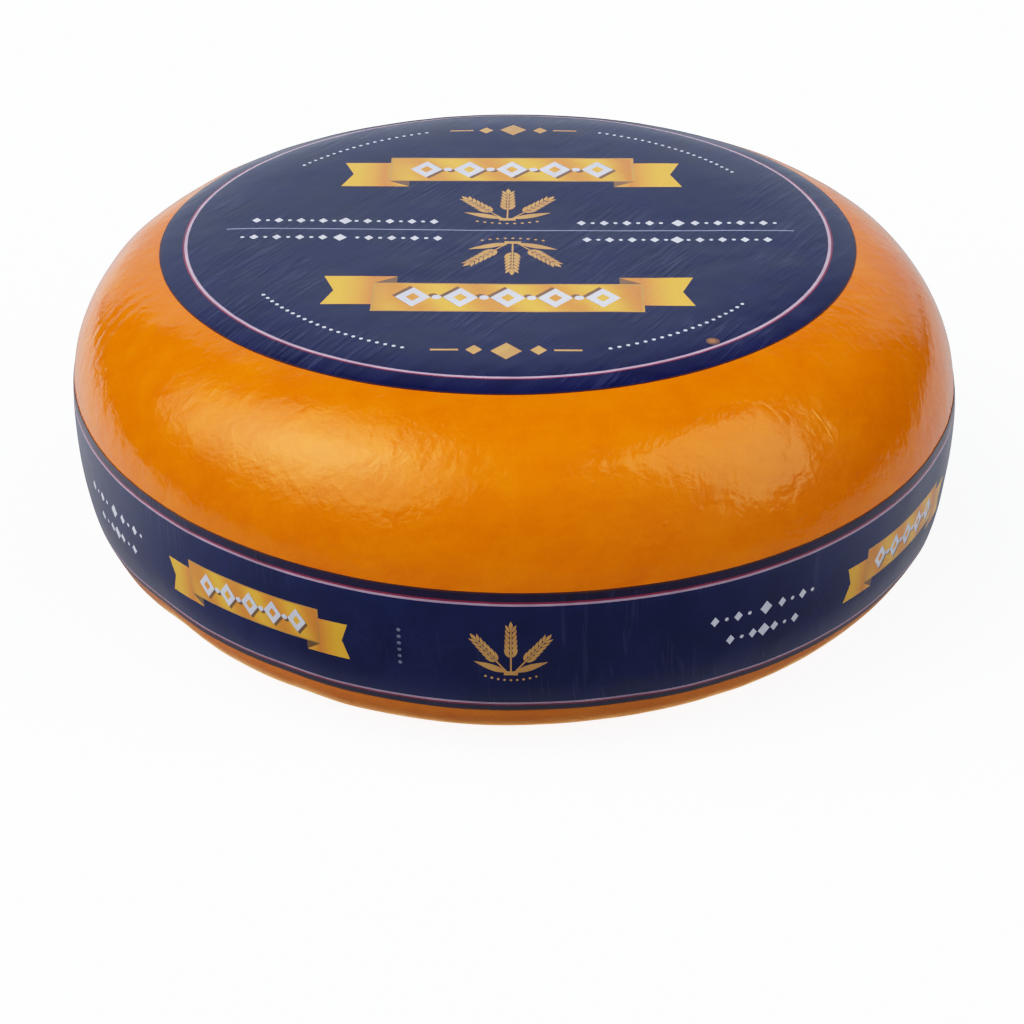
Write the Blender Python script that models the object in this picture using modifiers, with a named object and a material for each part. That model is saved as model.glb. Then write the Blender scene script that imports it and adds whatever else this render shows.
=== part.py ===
"""A whole Gouda cheese wheel with its two labels.

The wheel is a low drum with rounded shoulders: a coated, solid cheese that
rests on a flat underside.  A round film label lies on its top, a little off
centre, and a film label band runs round its side, a little askew, below
mid-height.  The origin is at the centre of the underside, +Z is up.
"""

import math

import bpy

# ---------------------------------------------------------------- sizes, in metres
WHEEL_RADIUS = 0.1750       # at the widest level of the side
WHEEL_HEIGHT = 0.1260       # underside to the top
WIDEST_LEVEL = 0.0648       # height of the widest level
FOOT_RADIUS = 0.1180        # the flat underside that the wheel rests on
TOP_SAG = 0.0010            # the top sinks this much at its centre

UPPER_ROLL = (9.0, 1.67)    # how square the upper shoulder is: (across, upwards)
LOWER_ROLL = (12.0, 2.44)   # the same for the lower edge

LABEL_RADIUS = 0.1358       # the round top label
LABEL_OFFSET = (-0.0025, 0.0089)   # its centre, off the wheel's own
BAND_BOTTOM = 0.0263        # levels between which the side band runs
BAND_TOP = 0.0765
BAND_SLANT = (-0.011, 0.020)       # rise of the band per metre across, along X and along Y

FILM = 0.0004               # a label with the coating brushed over it
GAP = 0.0003                # between the label and the rind

STEPS = 72                  # turned segments, shared, so that facets line up


# ---------------------------------------------------------------- the section's curve
def roll(share, powers):
    """Height share of a rounded edge at this share of the radius: 1 at the axis, 0 at the rim."""
    across, upwards = powers
    return max(0.0, 1.0 - share ** across) ** (1.0 / upwards)


def top_height(radius):
    """Height of the upper surface at this radius."""
    share = min(1.0, radius / WHEEL_RADIUS)
    height = WIDEST_LEVEL + (WHEEL_HEIGHT - WIDEST_LEVEL) * roll(share, UPPER_ROLL)
    sunk = max(0.0, 1.0 - (radius / (0.8 * WHEEL_RADIUS)) ** 2) ** 1.5
    return height - TOP_SAG * sunk


def under_height(radius):
    """Height of the lower surface at this radius: flat inside the foot."""
    if radius <= FOOT_RADIUS:
        return 0.0
    flat = roll(FOOT_RADIUS / WHEEL_RADIUS, LOWER_ROLL)
    return WIDEST_LEVEL * (1.0 - roll(min(1.0, radius / WHEEL_RADIUS), LOWER_ROLL) / flat)


def side_radius(height):
    """Radius of the side at this height, found by halving."""
    surface, rising = (top_height, False) if height > WIDEST_LEVEL else (under_height, True)
    low, high = 0.5 * WHEEL_RADIUS, WHEEL_RADIUS
    for _ in range(60):
        middle = 0.5 * (low + high)
        if (surface(middle) < height) == rising:
            low = middle
        else:
            high = middle
    return 0.5 * (low + high)


def between(first, last, count):
    """count evenly spaced values from first to last."""
    return [first + (last - first) * i / (count - 1) for i in range(count)]


# Radii of the top surface's rings, as shares.  They close up where the shoulder bends most.
TOP_RINGS = [0.0] + [WHEEL_RADIUS * s for s in (0.22, 0.42, 0.57, 0.67, 0.735, 0.79, 0.835)]
# Levels of the rings above, along and below the band.
SHOULDER_LEVELS = [top_height(WHEEL_RADIUS * s) for s in (0.870, 0.902, 0.930, 0.953, 0.971, 0.985)]
BAND_LEVELS = between(BAND_TOP + 0.0060, BAND_BOTTOM - 0.0060, 8)
EDGE_LEVELS = [under_height(WHEEL_RADIUS * s) for s in (0.950, 0.917, 0.875, 0.825, 0.760)]


def outline():
    """(radius, height) of the wheel's half section, from the top's centre down to the underside's."""
    points = [(r, top_height(r)) for r in TOP_RINGS]
    levels = [h for h in SHOULDER_LEVELS if h > BAND_LEVELS[0] + 0.002]
    levels += BAND_LEVELS
    levels += [h for h in EDGE_LEVELS if h < BAND_LEVELS[-1] - 0.0015]
    points += [(side_radius(h), h) for h in levels]
    points += [(FOOT_RADIUS, 0.0), (0.0, 0.0)]
    return points


def raised(points, by):
    """The same line moved outwards from the rind, square to it."""
    moved = []
    for i, (r, z) in enumerate(points):
        r0, z0 = points[max(0, i - 1)]
        r1, z1 = points[min(len(points) - 1, i + 1)]
        length = math.hypot(r1 - r0, z1 - z0)
        out_r, out_z = (z0 - z1) / length, (r1 - r0) / length
        if r == 0.0:
            out_r, out_z = 0.0, 1.0
        moved.append((r + by * out_r, z + by * out_z))
    return moved


# ---------------------------------------------------------------- making the objects
def clear_scene():
    for obj in list(bpy.data.objects):
        bpy.data.objects.remove(obj, do_unlink=True)
    for mesh in list(bpy.data.meshes):
        bpy.data.meshes.remove(mesh)


def collection(name):
    made = bpy.data.collections.new(name)
    bpy.context.scene.collection.children.link(made)
    return made


def material(name, colour, roughness, coat):
    made = bpy.data.materials.new(name)
    made.use_nodes = True
    shader = made.node_tree.nodes["Principled BSDF"]
    shader.inputs["Base Color"].default_value = (*colour, 1.0)
    shader.inputs["Roughness"].default_value = roughness
    shader.inputs["Metallic"].default_value = 0.0
    shader.inputs["Coat Weight"].default_value = coat
    shader.inputs["Coat Roughness"].default_value = 0.2
    return made


def turned(name, points, closed, into, finish):
    """An object whose half section is turned about Z with a Screw modifier."""
    mesh = bpy.data.meshes.new(name)
    edges = [(i, i + 1) for i in range(len(points) - 1)]
    if closed:
        edges.append((len(points) - 1, 0))
    mesh.from_pydata([(r, 0.0, z) for r, z in points], edges, [])
    mesh.materials.append(finish)
    obj = bpy.data.objects.new(name, mesh)
    into.objects.link(obj)
    screw = obj.modifiers.new("turn", "SCREW")
    screw.axis = "Z"
    screw.angle = 2 * math.pi
    screw.steps = screw.render_steps = STEPS
    screw.use_merge_vertices = True
    screw.merge_threshold = 0.00002
    screw.use_smooth_shade = True
    return obj


def cutter(name, radius, depth, location, rotation, into):
    """A cylinder that trims a label, kept out of the model."""
    bpy.ops.mesh.primitive_cylinder_add(
        vertices=STEPS, radius=radius, depth=depth, location=location, rotation=rotation
    )
    made = bpy.context.active_object
    made.name = name
    for owner in list(made.users_collection):
        owner.objects.unlink(made)
    into.objects.link(made)
    made.hide_render = True
    made.display_type = "WIRE"
    return made


def keep_inside(obj, tool):
    """Keep only what lies inside the tool."""
    cut = obj.modifiers.new("trim", "BOOLEAN")
    cut.operation = "INTERSECT"
    cut.solver = "EXACT"
    cut.object = tool


def main():
    clear_scene()
    cheese = collection("gouda_wheel")
    helpers = collection("cutters")
    helpers.hide_render = True

    rind = material("rind_coating", (0.80, 0.30, 0.02), 0.30, 0.5)
    film = material("label_film", (0.02, 0.03, 0.14), 0.30, 0.4)
    strip = material("band_film", (0.02, 0.03, 0.14), 0.30, 0.4)

    section = outline()
    turned("wheel", section, False, cheese, rind)

    # The top label: a skin over the top rings, cut round by a stamp off the wheel's axis.
    over = section[: len(TOP_RINGS)]
    skin = raised(over, GAP + FILM) + raised(over, GAP)[::-1]
    label = turned("top_label", skin, False, cheese, film)
    stamp = cutter("label_stamp", LABEL_RADIUS, 0.030,
                   (LABEL_OFFSET[0], LABEL_OFFSET[1], WHEEL_HEIGHT), (0.0, 0.0, 0.0), helpers)
    keep_inside(label, stamp)

    # The side band: a skin over the side, trimmed by a slab that leans with the band.
    first = len(section) - 2 - len([h for h in EDGE_LEVELS if h < BAND_LEVELS[-1] - 0.0015]) - len(BAND_LEVELS)
    around = section[first - 1: first + len(BAND_LEVELS) + 1]
    outer = raised(around, GAP + FILM)[1:-1]
    inner = raised(around, GAP)[1:-1]
    band = turned("side_band", outer + inner[::-1], True, cheese, strip)
    slab = cutter("band_slab", 1.3 * WHEEL_RADIUS, BAND_TOP - BAND_BOTTOM,
                  (0.0, 0.0, 0.5 * (BAND_TOP + BAND_BOTTOM)),
                  (math.atan(BAND_SLANT[1]), -math.atan(BAND_SLANT[0]), 0.0), helpers)
    keep_inside(band, slab)


main()
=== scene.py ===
"""Looks for a whole Gouda cheese wheel: the coated rind, a round film label on
top, a film band round the side, with their print and creases.

Everything is in metres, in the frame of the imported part: the origin is the
centre of the underside, +Z is up, and the camera stands towards -Y.
"""

import math

import bpy
import numpy as np
from mathutils import Matrix, Vector
from mathutils.geometry import delaunay_2d_cdt


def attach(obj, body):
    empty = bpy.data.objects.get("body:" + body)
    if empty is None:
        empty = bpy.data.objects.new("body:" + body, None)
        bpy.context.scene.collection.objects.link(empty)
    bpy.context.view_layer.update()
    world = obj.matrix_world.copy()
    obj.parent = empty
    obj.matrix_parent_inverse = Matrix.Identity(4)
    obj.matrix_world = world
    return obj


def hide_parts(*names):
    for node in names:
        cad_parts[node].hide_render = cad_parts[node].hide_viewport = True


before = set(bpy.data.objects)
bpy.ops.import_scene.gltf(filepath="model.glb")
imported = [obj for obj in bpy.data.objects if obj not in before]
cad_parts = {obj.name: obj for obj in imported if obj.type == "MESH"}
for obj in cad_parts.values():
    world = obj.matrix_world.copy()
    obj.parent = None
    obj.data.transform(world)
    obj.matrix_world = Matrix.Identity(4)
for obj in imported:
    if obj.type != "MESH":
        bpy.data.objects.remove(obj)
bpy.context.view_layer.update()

# ---------------------------------------------------------------- the wheel's own sizes
RADIUS = 0.1750
HEIGHT = 0.1260
WIDEST = 0.0648
FOOT = 0.1180
SAG = 0.0010
UPPER_ROLL = (9.0, 1.67)
LOWER_ROLL = (12.0, 2.44)
LABEL_RADIUS = 0.1358
LABEL_AT = (-0.0025, 0.0089)
BAND_LOW, BAND_HIGH = 0.0263, 0.0765
BAND_SLANT = (-0.011, 0.020)
TUCK = 0.00045          # the rind's mean surface lies this far inside the solid's, to leave room for lumps
FILM_OFF = 0.00033      # top of a label above the rind
FILM_THICK = 0.00026

# ================================================================ noise, seeded by its own hash


def _hash(ix, iy, iz, seed):
    h = (ix.astype(np.uint64) * np.uint64(73856093)) ^ (iy.astype(np.uint64) * np.uint64(19349663))
    h ^= (iz.astype(np.uint64) * np.uint64(83492791)) ^ np.uint64(seed * 2654435761 & 0xFFFFFFFF)
    h &= np.uint64(0xFFFFFFFF)
    h = ((h ^ (h >> np.uint64(15))) * np.uint64(2246822519)) & np.uint64(0xFFFFFFFF)
    h = ((h ^ (h >> np.uint64(13))) * np.uint64(3266489917)) & np.uint64(0xFFFFFFFF)
    return h ^ (h >> np.uint64(16))


def noise(points, size, seed=1):
    """Gradient noise, about -1 to 1, with lumps about this size across. points is (n, 3)."""
    p = np.asarray(points, float) / size + 1000.0
    cell = np.floor(p).astype(np.int64)
    f = p - cell
    u = f * f * f * (f * (f * 6 - 15) + 10)
    total = np.zeros(len(p))
    for dx in (0, 1):
        for dy in (0, 1):
            for dz in (0, 1):
                h = _hash(cell[:, 0] + dx, cell[:, 1] + dy, cell[:, 2] + dz, seed).astype(float)
                a = h * (2 * math.pi / 65536.0)
                c = ((h / 65536.0) % 1.0) * 2 - 1
                s = np.sqrt(np.maximum(0.0, 1 - c * c))
                g = (np.cos(a) * s) * (f[:, 0] - dx) + (np.sin(a) * s) * (f[:, 1] - dy) + c * (f[:, 2] - dz)
                w = (u[:, 0] if dx else 1 - u[:, 0]) * (u[:, 1] if dy else 1 - u[:, 1]) * (u[:, 2] if dz else 1 - u[:, 2])
                total += w * g
    return total * 1.5


def smooth(x, low, high):
    t = np.clip((x - low) / (high - low), 0.0, 1.0)
    return t * t * (3 - 2 * t)


# ================================================================ the turned section


def roll(share, powers):
    return np.maximum(0.0, 1.0 - np.asarray(share, float) ** powers[0]) ** (1.0 / powers[1])


def top_height(radius):
    share = np.minimum(1.0, np.asarray(radius, float) / RADIUS)
    sunk = np.maximum(0.0, 1.0 - (np.asarray(radius, float) / (0.8 * RADIUS)) ** 2) ** 1.5
    return WIDEST + (HEIGHT - WIDEST) * roll(share, UPPER_ROLL) - SAG * sunk


def under_height(radius):
    radius = np.asarray(radius, float)
    flat = roll(FOOT / RADIUS, LOWER_ROLL)
    z = WIDEST * (1.0 - roll(np.minimum(1.0, radius / RADIUS), LOWER_ROLL) / flat)
    return np.where(radius <= FOOT, 0.0, z)


def make_section():
    """Dense (radius, height) down the half section, from the top's centre to the underside's, and its normals."""
    turn = np.linspace(0.0, math.pi / 2, 4000)
    upper_r = RADIUS * np.cos(turn) ** (2.0 / UPPER_ROLL[0])
    upper_z = top_height(upper_r)
    upper_r, upper_z = upper_r[::-1], upper_z[::-1]
    lower_r = RADIUS * np.cos(turn) ** (2.0 / LOWER_ROLL[0])
    lower_z = under_height(lower_r)
    r = np.concatenate([np.linspace(0, upper_r[1], 600)[:-1], upper_r[1:], lower_r[1:]])
    z = np.concatenate([top_height(np.linspace(0, upper_r[1], 600)[:-1]), upper_z[1:], lower_z[1:]])
    run = np.concatenate([[0.0], np.cumsum(np.hypot(np.diff(r), np.diff(z)))])
    s = np.linspace(0.0, run[-1], 6001)
    r, z = np.interp(s, run, r), np.interp(s, run, z)
    dr, dz = np.gradient(r, s), np.gradient(z, s)
    n = np.hypot(dr, dz)
    return s, r, z, -dz / n, dr / n


SEC_S, SEC_R, SEC_Z, SEC_NR, SEC_NZ = make_section()
_top = int(np.argmax(SEC_R))


def s_of_height(z):
    """Run along the section at this height on the side."""
    a, b = int(np.searchsorted(-SEC_Z[:_top], -0.115)), len(SEC_Z)
    zs, ss = SEC_Z[a:b], SEC_S[a:b]
    keep = np.concatenate([[True], np.diff(zs) < -1e-9])
    return np.interp(-np.asarray(z, float), -zs[keep], ss[keep])


def s_of_radius(r):
    """Run along the section at this radius on the top."""
    return np.interp(r, SEC_R[: _top + 1], SEC_S[: _top + 1])


def on_section(s):
    return (np.interp(s, SEC_S, SEC_R), np.interp(s, SEC_S, SEC_Z),
            np.interp(s, SEC_S, SEC_NR), np.interp(s, SEC_S, SEC_NZ))


def on_wheel(s, turn):
    """Base point and normal of the rind at run s and azimuth turn, measured from -Y towards +X."""
    r, z, nr, nz = on_section(s)
    east, south = np.sin(turn), -np.cos(turn)
    p = np.stack([r * east, r * south, z], 1)
    n = np.stack([nr * east, nr * south, nz], 1)
    return p, n


# ---------------------------------------------------------------- how uneven the rind is


def dent(p, at, size, depth):
    d = np.linalg.norm((p - np.array(at)) / size, axis=1)
    return -depth * np.exp(-d * d)


# How far the hand-made wheel is from a turned one, in mm, at angles from -Y towards +X:
# its lower edge has settled unevenly, and its shoulder is fuller on one side than on the other.
LOWER_FORM = ((-180, 0.0), (-95, -0.8), (-80, -1.5), (-70, -0.2), (-60, -0.3), (-50, -1.4), (-40, 0.0), (-30, 0.5), (-20, 1.8),
              (-5, 2.4), (15, 2.0), (35, 1.5), (50, 1.0), (60, 1.2), (70, 2.0), (80, 1.9), (92, 1.3), (110, 0.6), (180, 0.0))
UPPER_FORM = ((-180, 0.0), (-115, -0.2), (-100, 0.6), (-85, 1.3), (-65, 0.5), (-40, 0.1), (65, 0.0), (85, 0.0), (100, -0.8),
              (115, -0.6), (135, 0.2), (180, 0.0))
MIDDLE_FORM = ((-180, 0.0), (-95, 0.1), (-75, -0.55), (-50, -1.0), (0, 0.0), (50, 0.1), (75, -0.1), (95, -1.2), (120, 0.0), (180, 0.0))


def eased(turn, table):
    """The table's value at this angle, eased from each entry to the next."""
    t = np.array([row[0] for row in table], float)
    v = np.array([row[1] for row in table], float)
    i = np.clip(np.searchsorted(t, turn, side="right") - 1, 0, len(t) - 2)
    return v[i] + (v[i + 1] - v[i]) * smooth(turn, t[i], t[i + 1])


def form(p):
    turn = np.degrees(np.arctan2(p[:, 0], -p[:, 1]))
    z = p[:, 2]
    low = smooth(z, 0.001, 0.013) * (1 - smooth(z, 0.016, 0.046))
    high = smooth(z, 0.066, 0.092) * (1 - smooth(z, 0.114, 0.1235))
    middle = smooth(z, 0.018, 0.045) * (1 - smooth(z, 0.062, 0.088))
    return 0.001 * (eased(turn, LOWER_FORM) * low + eased(turn, UPPER_FORM) * high + eased(turn, MIDDLE_FORM) * middle)


def creased(p):
    """A few slanting creases of the coating on the left shoulder."""
    q = p - np.array((-0.1485, -0.0445, 0.1130))
    along = q @ np.array((0.66, 0.37, 0.65))
    across = q @ np.array((0.372, -0.91, 0.14))
    bend = across + 0.0007 * noise(p, 0.017, 31)
    near = np.exp(-(along / 0.0145) ** 2 - (across / 0.0100) ** 2)
    return 0.000115 * np.cos(bend * (2 * math.pi / 0.0070)) * near


def lumps(p):
    """How far the rind stands off its mean surface, in metres, at base points p."""
    broad = 0.00022 * noise(p, 0.105, 3)
    hand = 0.00017 * noise(p, 0.046, 7)
    patchy = 0.55 + 0.9 * smooth(noise(p, 0.060, 5), -0.25, 0.35)
    calm = 1 - 0.45 * smooth(p[:, 2], 0.1165, 0.1215)
    small = 0.000135 * noise(p, 0.022, 11) * patchy * calm
    fine = 0.000078 * noise(p, 0.0105, 17) * patchy * calm
    off = np.clip(broad + hand + small + fine, -0.0007, 0.00039)
    off += dent(p, (0.0727, -0.1475, 0.1017), 0.0040, 0.00013) + dent(p, (0.0965, -0.1384, 0.0935), 0.0075, 0.00012)
    off += dent(p, (0.1078, -0.1187, 0.1074), 0.0062, 0.00019)
    off += dent(p, (0.0875, -0.1298, 0.1115), 0.0100, -0.00010) + creased(p)
    foot = smooth(p[:, 2], 0.0006, 0.014)
    return (off - TUCK) * foot + form(p)


# ================================================================ making meshes


def mesh_object(name, verts, faces, materials, face_material=None, smooth_shade=True):
    mesh = bpy.data.meshes.new(name)
    mesh.from_pydata([tuple(v) for v in verts], [], [tuple(int(i) for i in f) for f in faces])
    mesh.validate()
    for m in materials:
        mesh.materials.append(m)
    if face_material is not None and len(face_material) == len(mesh.polygons):
        mesh.polygons.foreach_set("material_index", np.asarray(face_material, np.int32))
    mesh.polygons.foreach_set("use_smooth", [smooth_shade] * len(mesh.polygons))
    mesh.update()
    obj = bpy.data.objects.new(name, mesh)
    bpy.context.scene.collection.objects.link(obj)
    return obj


def wheel_mesh(finish):
    """The rind: a dense turned skin, pushed in and out by its lumps."""
    around = 640
    step = 0.0019
    s_label = float(s_of_radius(0.118))
    s_low = float(s_of_height(0.006))
    stations = [0.0]
    s = 0.02
    while s < s_label:
        stations.append(s)
        s += 0.0085
    s = s_label
    while s < s_low:
        stations.append(s)
        s += step
    stations.append(s_low)
    foot_s = float(np.interp(-FOOT, -SEC_R[_top:], SEC_S[_top:]))
    stations += list(np.linspace(s_low, foot_s, 14)[1:])
    stations += [foot_s + 0.012, foot_s + 0.040, foot_s + 0.080]
    stations = np.array(stations)
    turn = np.arange(around) * (2 * math.pi / around)
    ss, tt = np.meshgrid(stations[1:], turn, indexing="ij")
    p, n = on_wheel(ss.ravel(), tt.ravel())
    p[p[:, 2] < 1e-6, 2] = 0.0
    low = p[:, 2] <= 1e-6
    p2 = p + n * lumps(p)[:, None]
    p2[low] = p[low]
    rows, cols = ss.shape
    top_p, top_n = on_wheel(np.array([0.0]), np.array([0.0]))
    centre_top = top_p + top_n * lumps(top_p)[:, None]
    verts = np.concatenate([p2, centre_top, [[0.0, 0.0, 0.0]]])
    at = lambda i, j: i * cols + (j % cols)
    faces = []
    for i in range(rows - 1):
        for j in range(cols):
            faces.append((at(i, j), at(i + 1, j), at(i + 1, j + 1), at(i, j + 1)))
    a, b = len(p2), len(p2) + 1
    for j in range(cols):
        faces.append((a, at(0, j), at(0, j + 1)))
        faces.append((b, at(rows - 1, j + 1), at(rows - 1, j)))
    obj = mesh_object("rind", verts, faces, [finish])
    return obj


# ================================================================ the print, drawn as shapes in millimetres


def circle(cx, cy, r, count):
    a = np.arange(count) * (2 * math.pi / count)
    return [(cx + r * math.cos(t), cy + r * math.sin(t)) for t in a]


def dense(poly, step=2.2):
    """The same outline with its long edges divided, so that it follows a curved sheet."""
    out = []
    for (x0, y0), (x1, y1) in zip(poly, poly[1:] + poly[:1]):
        count = max(1, int(math.ceil(math.hypot(x1 - x0, y1 - y0) / step)))
        out += [(x0 + (x1 - x0) * i / count, y0 + (y1 - y0) * i / count) for i in range(count)]
    return out


def lozenge(cx, cy, w, h):
    return [(cx - w, cy), (cx, cy - h), (cx + w, cy), (cx, cy + h)]


def bar(x0, y0, x1, y1):
    return [(x0, y0), (x1, y0), (x1, y1), (x0, y1)]


def leaf(x0, y0, x1, y1, fat, count=9):
    """A leaf between two tips."""
    dx, dy = x1 - x0, y1 - y0
    length = math.hypot(dx, dy)
    nx, ny = -dy / length, dx / length
    up, down = [], []
    for i in range(count + 1):
        t = i / count
        w = fat * math.sin(math.pi * t ** 0.8)
        if 0 < i < count:
            up.append((x0 + dx * t + nx * w, y0 + dy * t + ny * w))
            down.append((x0 + dx * t - nx * w, y0 + dy * t - ny * w))
    return [(x0, y0)] + down + [(x1, y1)] + up[::-1]


def placed(shapes, cx, cy, turn=0.0, scale=1.0, aspect=1.0):
    """The shapes scaled, turned by an angle and moved."""
    c, s = math.cos(turn), math.sin(turn)
    out = []
    for ink, pts in shapes:
        out.append((ink, [(cx + scale * (x * aspect * c - y * s), cy + scale * (x * aspect * s + y * c)) for x, y in pts]))
    return out


def ribbon(half, tall, tail, drop):
    """A folded banner centred on its bar: a bar in front, a swallow tail behind each end."""
    shapes = []
    h = tall / 2
    for side in (-1, 1):
        inner = half - 0.36 * tall
        # tail: from behind the bar outwards, lower than the bar by drop, its outer edge notched
        pts = [(side * half, h - drop), (side * tail, h - drop + 0.2), (side * (tail - 0.17 * tall), -drop + 0.3),
               (side * (tail + 0.01 * tall), -h - drop), (side * inner, -h - drop), (side * half, -h)]
        shapes.append(("gold", pts if side > 0 else pts[::-1]))
        fold = [(side * half, -h), (side * inner, -h), (side * inner, -h - drop)]
        shapes.append(("fold", fold if side > 0 else fold[::-1]))
    edge = 0.035 * tall
    shapes.append(("rim", bar(-half, -h, half, h)))
    shapes.append(("gold", bar(-half + edge, -h + edge, half - edge, h - edge)))
    return shapes


def beads(half, tall):
    """White lozenges along a banner with their shadow: a plain ornament."""
    shapes = []
    count = 5
    pitch = 2 * half / count
    for ink, ox, oy, grow in (("fold", 0.055 * tall, -0.055 * tall, 1.0), ("white", 0.0, 0.0, 1.0)):
        for i in range(count):
            x = -half + pitch * (i + 0.5)
            shapes.append((ink, lozenge(x + ox, oy, 0.37 * pitch * grow, 0.34 * tall * grow)))
        for i in range(count + 1):
            x = -half + pitch * i
            if 0 < i < count:
                shapes.append((ink, circle(x + ox, oy, 0.075 * tall * grow, 12)))
    for i in range(count):
        x = -half + pitch * (i + 0.5)
        shapes.append(("gold", lozenge(x, 0.0, 0.15 * pitch, 0.14 * tall)))
    return shapes


def wheat(length, count=6):
    """One ear lying along +x: paired grains on a stalk."""
    shapes = [("line", bar(0.0, -0.30, length * 0.98, 0.30))]
    for i in range(count):
        x = length * (0.34 + 0.54 * i / (count - 1))
        g = length * 0.19 * (1 - 0.25 * i / count)
        for side in (-1, 1):
            grain = leaf(x, side * 0.5, x + g, side * (g * 0.62), g * 0.18, 6)
            shapes.append(("line", grain if side > 0 else grain[::-1]))
    shapes.append(("line", leaf(length * 0.93, 0.0, length * 1.10, 0.0, length * 0.035, 6)))
    return shapes


def sprig(width, tall):
    """Three ears that fan out from one tie, two leaves beside them and a bowed line of dots below."""
    shapes = []
    foot = -0.36 * tall
    for angle, length in ((0.0, 0.84 * tall), (38.0, 0.80 * tall), (-38.0, 0.80 * tall)):
        turn = math.radians(90 - angle)
        shapes += placed(wheat(length, 6), 0.06 * width * math.sin(math.radians(angle)), foot, turn)
    for side in (-1, 1):
        tip = leaf(side * 0.05 * width, foot + 0.02 * tall, side * 0.48 * width, foot + 0.20 * tall, 0.055 * tall)
        shapes.append(("line", tip if side > 0 else tip[::-1]))
    shapes.append(("line", bar(-0.09 * width, foot - 0.035 * tall, 0.09 * width, foot + 0.035 * tall)))
    for i in range(-4, 5):
        shapes.append(("line", circle(i * width * 0.082, foot - tall * (0.125 - 0.004 * i * i), tall * 0.020, 10)))
    return shapes


def dotted(x0, x1, y, size, pitch, centre=True):
    """A row of small lozenges and dots with a larger lozenge at its middle."""
    shapes = []
    count = max(2, int(round((x1 - x0) / pitch)))
    for i in range(count + 1):
        x = x0 + (x1 - x0) * i / count
        if centre and abs(x - 0.5 * (x0 + x1)) < pitch * 0.9:
            continue
        if i % 2:
            shapes.append(("white", circle(x, y, size * 0.36, 8)))
        else:
            shapes.append(("white", lozenge(x, y, size * 0.78, size * 0.95)))
    if centre:
        shapes.append(("white", lozenge(0.5 * (x0 + x1), y, size * 1.15, size * 1.3)))
    return shapes


def arc_dots(r, a0, a1, size, pitch):
    shapes = []
    count = int(abs(a1 - a0) * r / pitch)
    for i in range(count + 1):
        a = a0 + (a1 - a0) * i / count
        shapes.append(("white", circle(r * math.cos(a), r * math.sin(a), size * 0.5, 8)))
    return shapes


def top_print():
    """All shapes of the round label, in mm round the print's middle. Half is drawn, then turned about."""
    half = []
    up = ribbon(50.3, 24.0, 69.0, 5.6)
    up += beads(44.0, 24.0)
    half += placed(up, 0.0, 60.2)
    half += placed(sprig(36.0, 32.0), -1.2, 22.5)
    half += dotted(-100.0, -30.0, 8.2, 2.3, 4.4)
    half += dotted(28.0, 104.0, 7.6, 2.3, 4.5)
    half += [("line", lozenge(0, 104.0, 5.6, 6.4)), ("line", lozenge(-11.5, 103.2, 3.0, 3.6)), ("line", lozenge(11.5, 103.2, 3.0, 3.6)),
             ("line", bar(-27.0, 102.6, -17.0, 103.8)), ("line", bar(17.0, 102.6, 27.0, 103.8))]
    half += arc_dots(108.0, math.radians(110), math.radians(143), 1.5, 3.3)
    half += arc_dots(108.0, math.radians(70), math.radians(33), 1.5, 3.3)
    turned = [(ink, [(-x, -y) for x, y in pts]) for ink, pts in half]
    tilt = math.radians(-0.7)
    shapes = placed(half + turned, 0.9, -1.9, tilt)
    return shapes


def band_print():
    """One quarter of the band's print, in mm: along the band from its banner's middle, and up from the band's middle.
    One list for each motif, since the seam drops or keeps a motif whole."""
    banner = placed(ribbon(28.9, 14.8, 40.1, 3.8) + beads(25.0, 14.8), 0.0, 1.2)
    column = [("dim", circle(59.0, 7.0 - 2.8 * i, 0.75, 8)) for i in range(6)]
    ears = placed(sprig(27.0, 24.0), 98.0, 0.5)
    rows = placed(dotted(-21.0, 21.0, 4.4, 2.2, 4.6) + dotted(-14.0, 14.0, -5.2, 2.2, 4.6), 192.0, 0.0)
    return [banner, column, ears, rows]


# ---------------------------------------------------------------- triangles that follow the print


def inside(px, py, poly):
    """Even-odd test of many points against one closed outline."""
    q = np.asarray(poly, float)
    x0, y0 = q[:, 0], q[:, 1]
    x1, y1 = np.roll(x0, -1), np.roll(y0, -1)
    hit = np.zeros(len(px), bool)
    for a, b, c, d in zip(x0, y0, x1, y1):
        if b == d:
            continue
        cross = ((b > py) != (d > py)) & (px < (c - a) * (py - b) / (d - b) + a)
        hit ^= cross
    return hit


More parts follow.
